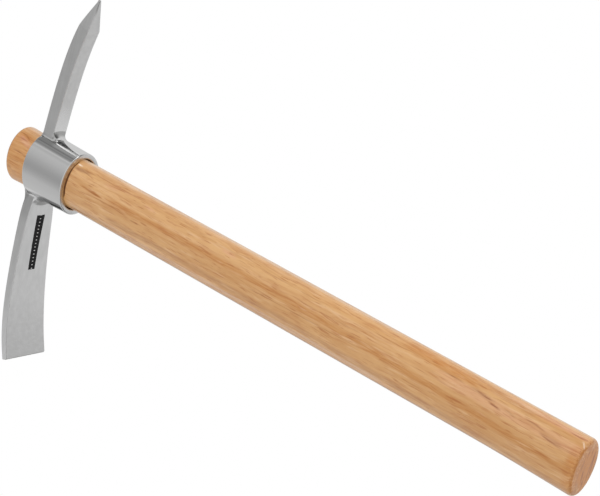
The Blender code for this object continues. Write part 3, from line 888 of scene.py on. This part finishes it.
pick = {
    # The line: up or down, how far it goes, how far the back stands in from the eye's far
    # rim, how far the end lies towards the grip, and the leans at root and tip
    "side": 1, "length": 0.0985, "inset": 0.0006, "sweep": 0.0179,
    "rootLean": math.radians(4.9), "tipLean": math.radians(15.6), "pulls": (0.60, 0.34),
    "rootThickness": 0.0096, "thickness": 0.0106, "rootWidth": 0.0112, "width": 0.0104,
    "frontFillet": 0.0050, "backFillet": 0.0110, "sideFillet": 0.0018,
    "pointLength": 0.0203, "pointSize": 0.0014, "pointSetBack": 0.0006, "pointBlend": 0.62,
    "roundMost": 0.8,            # of the half width, for the edges' rounding at the tip
    "stepsPoint": 26,
    # How bright the metal is, face by face: partly the faces' own finish and partly painted
    # light, standing in for the lighter and darker reflections they catch. Shares down the
    # fillet say where the tone goes over to the eye's, where a painted dark band starts on the
    # front, standing in for the fillet's dark reflection, and where it ends.
    "brightFront": 0.68, "brightSide": 0.48, "brightBack": 0.52, "brightBand": 0.0,
    "overToEye": (0.0, 0.15), "bandStarts": (0.0, 0.06), "bandEnds": (0.30, 0.55),
    "buffedFront": 0.80, "buffedReach": 0.032, "buffedFoot": 0.6,
    # A dark nick on the camera's side of the front, by its distance from the tip
    "nickStarts": 0.012, "nickFull": 0.004, "nickSideways": -0.4,
}


def makePick(material):
    # A square bar along the arm's line. At the point its front and sides run straight to the
    # tip, and its back follows (s + sqrt(s^2 + blend^2)) / 2, which starts softly.
    line, total = armLine(pick)
    point = pick["pointLength"]
    shaft = total - point

    def sizes(distance):
        share = np.clip(distance / shaft, 0, 1)
        alongPoint = (distance - shaft) / point
        taper = np.maximum(0, alongPoint)
        softTaper = np.clip((alongPoint + np.hypot(alongPoint, pick["pointBlend"])) / 2, 0, 1)
        thickness = mix(pick["rootThickness"], pick["thickness"], share)
        width = mix(pick["rootWidth"], pick["width"], share)
        tip, setBack = pick["pointSize"], pick["pointSetBack"]
        halfWidth = mix(width, tip, taper) / 2
        return (mix(thickness / 2, tip / 2 - setBack, taper),
                mix(thickness / 2, tip / 2 + setBack, softTaper), halfWidth,
                np.minimum(arms["arrisRound"], pick["roundMost"] * halfWidth))

    def finish(along, foot, onFront, onSide, sideways):
        nearRoot = 1 - smoothStep(0.0, pick["buffedReach"], along)
        overToEye = smoothStep(*pick["overToEye"], foot)
        bright = np.where(onFront, pick["brightFront"],
                          np.where(onSide, pick["brightSide"], pick["brightBack"]))
        buffed = np.maximum(overToEye * np.where(onFront, pick["buffedFoot"], 1.0),
                            np.where(onFront, pick["buffedFront"] * nearRoot, 0.0))
        # A painted dark band on the front's fillet, standing in for its dark reflection
        band = np.where(onFront, smoothStep(*pick["bandStarts"], foot), 0.0)
        bright = mix(bright, pick["brightBand"], band)
        bandEnds = smoothStep(*pick["bandEnds"], foot)
        bright = mix(bright, eye["bright"], np.where(onFront, bandEnds, overToEye))
        nick = smoothStep(total - pick["nickStarts"], total - pick["nickFull"], along)
        bright = bright * (1 - nick * (onFront & (sideways < pick["nickSideways"])))
        return {"buffed": buffed, "bright": bright, "scaled": 0 * foot}

    distances = np.concatenate([np.linspace(0, shaft, arms["stepsAlong"]),
                                np.linspace(shaft, total, pick["stepsPoint"])[1:]])
    return makeArm("pick", pick, sizes, distances, line, finish, material)


blade = {
    # The line, as in the pick's values, and the widths and thicknesses from root to edge
    "side": -1, "length": 0.1127, "inset": -0.0006, "sweep": 0.0149,
    "rootLean": math.radians(0.6), "tipLean": math.radians(17.0), "pulls": (0.75, 0.086),
    "rootThickness": 0.0082, "thickness": 0.0042, "rootWidth": 0.0180,
    "shoulderWidth": 0.0238, "shoulderLength": 0.0184, "edgeWidth": 0.0348,
    "frontFillet": 0.0050, "backFillet": 0.0230, "sideFillet": 0.0035,
    "edgeBevel": 0.0009, "edgeLand": 0.0032,
    "crease": 0.00005,           # rings this close to an edge keep it crisp
    # How bright the metal is on the front and on the side, at places along the blade. The
    # side's rise towards the edge is painted light, standing in for the light its turning face
    # catches.
    "places": (0.0, 0.010, 0.020, 0.045, 0.070, 0.090, 0.1127),
    "brightFront": (0.84, 0.86, 0.86, 0.86, 0.88, 0.76, 0.67),
    "brightSide": (0.32, 0.36, 0.60, 0.64, 0.74, 0.92, 0.94),
    "brightBack": 0.52, "brightBevel": 0.04, "brightFoot": 0.95, "brightBand": 0.0,
    # Shares down the fillet, and across the front, as in the pick's values. The dark band at
    # the front's root is a painted dark reflection.
    "overToEye": (0.0, 0.6), "bandStarts": (0.0, 0.06), "bandAcross": (-0.62, -0.45),
    "buffedStarts": (0.0, 0.15),
}


def bladeSizes(total):
    # The width opens fast at the shoulders, 1 - exp(-2 d / length), and then by 3s^2 - 2s^3
    def sizes(distance):
        share = np.maximum(distance, 0) / total
        half = mix(blade["rootThickness"], blade["thickness"], share) / 2
        ground = np.maximum(0, (distance - total + blade["edgeBevel"]) / blade["edgeBevel"])
        shoulder = np.maximum(1 - np.exp(-2 * distance / blade["shoulderLength"]), 0)
        flare = mix(blade["shoulderWidth"], blade["edgeWidth"], smoothStep(0, total, distance))
        return (mix(half, blade["edgeLand"] - half, ground), half,
                mix(blade["rootWidth"], flare, shoulder) / 2, arms["arrisRound"] + 0 * half)
    return sizes


def makeBlade(material):
    # A flat bar along the arm's line that flares to its edge, where the front is ground off
    # in a short bevel
    line, total = armLine(blade)
    bevelTop = total - blade["edgeBevel"]

    def finish(along, foot, onFront, onSide, sideways):
        # The side's brightness along the blade is painted light in part
        front, side = [np.interp(along, blade["places"], blade[name])
                       for name in ("brightFront", "brightSide")]
        onBevel = onFront & (along > bevelTop + 4 * blade["crease"])
        bright = np.where(onFront, front, np.where(onSide, side, blade["brightBack"]))
        bright = np.where(onBevel, blade["brightBevel"], bright)
        bright = mix(bright, np.where(onSide, blade["brightFoot"], eye["bright"]),
                     smoothStep(*blade["overToEye"], foot))
        # A painted dark band at the front's root, standing in for the dark reflection there
        band = smoothStep(*blade["bandStarts"], foot)
        band = band * smoothStep(*blade["bandAcross"], sideways)
        bright = mix(bright, blade["brightBand"], np.where(onFront, band, 0.0))
        buffed = smoothStep(*blade["buffedStarts"], foot) * np.where(onFront, 0.0, 1.0)
        return {"buffed": buffed, "bright": bright, "scaled": 0 * foot}

    crease = blade["crease"]
    distances = np.concatenate([np.linspace(0, bevelTop, arms["stepsAlong"]),
                                [bevelTop + crease, bevelTop + 6 * crease],
                                [total - crease, total]])
    return makeArm("blade", blade, bladeSizes(total), distances, line, finish, material)


# Plate printed on the blade

plate = {
    # From and to along the blade, how wide and how far off the middle there
    "top": 0.0118, "bottom": 0.0516, "topHalfWidth": 0.0034, "bottomHalfWidth": 0.0028,
    "topAcross": 0.00075, "bottomAcross": 0.00025,
    "thick": 0.00008,            # proud of the blade, and as deep in it
    "stepsAlong": 40, "stepsAcross": 13,
}


def makePlate(material):
    # A thin closed skin that follows the blade's front face between two distances
    line, total = armLine(blade)
    steps = plate["stepsAcross"]
    share = np.linspace(0, 1, plate["stepsAlong"])
    distance = mix(plate["top"], plate["bottom"], share)
    front = bladeSizes(total)(distance)[0]
    middle = mix(plate["topAcross"], plate["bottomAcross"], share)
    halfWidth = mix(plate["topHalfWidth"], plate["bottomHalfWidth"], share)
    sideways = np.concatenate([np.linspace(-1, 1, steps), np.linspace(1, -1, steps)])
    over = np.repeat([1.0, -1.0], steps)
    y = middle[:, None] + halfWidth[:, None] * sideways
    x, z = aheadOfLine(line, distance[:, None], front[:, None] + plate["thick"] * over)
    rings = np.stack([x, y, z], -1)
    attributes = {
        "dotRow": (distance - distance[0])[:, None] / printFinish["dotEvery"] * 2 + 0 * y,
        "sideways": y - middle[:, None]}
    piece = loftPiece("blade_plate", rings, material, attributes)
    piece.data.polygons.foreach_set("use_smooth", [False] * len(piece.data.polygons))
    return piece


steel = groundSteel()
pieces = {
    "eye": makeEye(steel),
    "pick": makePick(steel),
    "blade": makeBlade(steel),
    "handle": makeHandle(varnishedAsh()),
    "plate": makePlate(blackPrint()),
}
# The soft light from all sides reaches the wood close to the eye, as it does in the studio
pieces["eye"].visible_diffuse = False
for name in ("eye", "pick", "blade"):
    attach(pieces[name], "root")
    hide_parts("pick_mattock_head")
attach(pieces["handle"], "root")
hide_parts("wooden_handle")
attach(pieces["plate"], "root")
print("pieces ride on the root body")


# Floor, light and camera

studio = {
    "floorRadius": 14.0,
    "floorSides": 96,
    "floorGrey": 0.76,          # what the floor sends back up to the tool
    "skyForWood": 1.10,         # the soft light from all sides
    # What the steel's reflections meet, by the direction round the handle: degrees from
    # straight behind (0), over the top (90) to the camera's side (180) and below (-90)
    "surround": (
        (-180, 0.59), (-174, 0.55), (-164, 0.53), (-155, 0.58), (-144, 0.68), (-136, 0.76),
        (-110, 0.80), (-60, 0.80), (0, 0.81), (20, 0.88), (31, 0.95), (46, 1.0), (52, 0.90),
        (57, 1.1), (62, 1.1), (75, 0.60), (90, 0.50), (97, 0.48), (101, 0.37), (104.5, 0.23),
        (108, 0.40), (112, 0.41), (114.5, 0.31), (118, 0.40), (121.5, 0.50), (126, 0.84),
        (129, 0.80), (132, 0.70), (142, 0.80), (158, 0.74), (180, 0.59)),
    # The right side is a darker room with a white backdrop behind: the brightness there by
    # how far the direction goes back (y), where it also goes to the right
    "rightSide": ((-1.0, 0.95), (-0.40, 0.90), (-0.22, 0.50), (0.14, 0.50), (0.20, 0.13),
                  (0.46, 0.15), (0.62, 0.90), (0.80, 0.90), (1.0, 0.75)),
    # and the same higher up, where a strip light hangs
    "rightHigh": ((-1.0, 0.95), (-0.40, 0.90), (-0.22, 0.50), (-0.07, 0.50), (-0.04, 2.7),
                  (0.18, 2.7), (0.22, 0.13), (0.46, 0.15), (0.62, 0.90), (0.80, 0.90),
                  (1.0, 0.75)),
    "highFrom": (0.42, 0.54),    # how far up and how far to the right each takes over
    "rightFrom": (0.15, 0.45),
}
white = (1.0, 1.0, 1.0, 1.0)


def makeFloor():
    # A white light table: pure white to the camera, and pale grey for what it lights
    turn = np.linspace(0, 2 * math.pi, studio["floorSides"], endpoint=False)
    radius = studio["floorRadius"]
    mesh = bpy.data.meshes.new("floor")
    mesh.from_pydata(np.stack([radius * np.cos(turn), radius * np.sin(turn), 0 * turn],
                              -1).tolist(), [], [list(range(len(turn)))])
    floor = bpy.data.objects.new("floor", mesh)
    bpy.context.scene.collection.objects.link(floor)
    material, tree = newMaterial("white_light_table")
    seen, lit = [addNode(tree, "Emission", {"Color": white, "Strength": strength})
                 .outputs["Emission"] for strength in (1.0, studio["floorGrey"])]
    direct = addNode(tree, "LightPath").outputs["Is Camera Ray"]
    both = addNode(tree, "MixShader", {0: direct, 1: lit, 2: seen}).outputs["Shader"]
    addNode(tree, "OutputMaterial", {"Surface": both})
    mesh.materials.append(material)
    floor.visible_glossy = False    # the steel mirrors the room alone


def makeSurround():
    # A white room whose brightness, as the steel's gloss meets it, depends on the direction
    world = bpy.data.worlds.new("studio")
    world.use_nodes = True
    bpy.context.scene.world = world
    tree = world.node_tree
    tree.nodes.clear()
    way = addNode(tree, "TexCoord").outputs["Generated"]
    ahead, back, up = [addNode(tree, "VectorMath", {0: way, 1: tuple(axis)},
                               operation="DOT_PRODUCT").outputs["Value"] for axis in toolAxes]
    turn = addNode(tree, "Math", {0: up, 1: back}, operation="ARCTAN2").outputs["Value"]
    # Each part of the room is a ramp of brightness over a value that runs from -most to most.
    # The span turns its stops' places into shares of that.
    parts = []
    for value, most, span, stops in ((turn, math.pi, 360, studio["surround"]),
                                     (back, 1.0, 2, studio["rightSide"]),
                                     (back, 1.0, 2, studio["rightHigh"])):
        share = addNode(tree, "MapRange", {"Value": value, "From Min": -most,
                                           "From Max": most}).outputs["Result"]
        ramp = addNode(tree, "ValToRGB", {"Fac": share})
        elements = ramp.color_ramp.elements
        while len(elements) < len(stops):
            elements.new(0.5)
        for element, (place, bright) in zip(elements, stops):
            element.position = place / span + 0.5
            element.color = (bright, bright, bright, 1.0)
        parts.append(ramp.outputs["Color"])
    high, right = [addNode(tree, "MapRange", {"Value": value, "From Min": studio[name][0],
                                              "From Max": studio[name][1]},
                           interpolation_type="SMOOTHSTEP").outputs["Result"]
                   for value, name in ((up, "highFrom"), (ahead, "rightFrom"))]
    rays = addNode(tree, "LightPath").outputs
    sky = (*[studio["skyForWood"]] * 3, 1.0)
    around, rightSide, colour = parts
    for factor, otherwise in ((high, rightSide), (right, around), (rays["Is Glossy Ray"], sky)):
        colour = addNode(tree, "Mix", {"Factor": factor, 6: otherwise, 7: colour},
                         data_type="RGBA").outputs[2]
    colour = addNode(tree, "Mix", {"Factor": rays["Is Camera Ray"], 6: colour, 7: white},
                     data_type="RGBA").outputs[2]
    background = addNode(tree, "Background", {"Color": colour}).outputs["Background"]
    addNode(tree, "OutputWorld", {"Surface": background})


# The camera, in the tool's own axes, was fitted to the outlines of the handle, the eye and
# the arms
cameraFit = {
    "place": (0.771909, -0.761757, 0.364585),
    "up": (-0.3886, 0.1085, 0.9150),
    "back": (0.5625, -0.7585, 0.3289),
    "lens": 102.136,
    "sensor": 36.0,
    "clip": (0.05, 60.0),
}


def makeCamera():
    data = bpy.data.cameras.new("camera")
    data.lens, data.sensor_width = cameraFit["lens"], cameraFit["sensor"]
    data.clip_start, data.clip_end = cameraFit["clip"]
    camera = bpy.data.objects.new("camera", data)
    bpy.context.scene.collection.objects.link(camera)
    back = np.array(cameraFit["back"]) / np.linalg.norm(cameraFit["back"])
    right = np.cross(cameraFit["up"], back)
    right /= np.linalg.norm(right)
    matrix = Matrix.Identity(4)
    for column, vector in enumerate((right, np.cross(back, right), back)):
        matrix.col[column][:3] = vector @ toolAxes
    matrix.col[3][:3] = toolToFrame(cameraFit["place"])
    camera.matrix_world = matrix
    bpy.context.scene.camera = camera


makeFloor()
makeSurround()
makeCamera()
bpy.context.scene.view_settings.view_transform = "Standard"
print("floor, light and camera are in place")
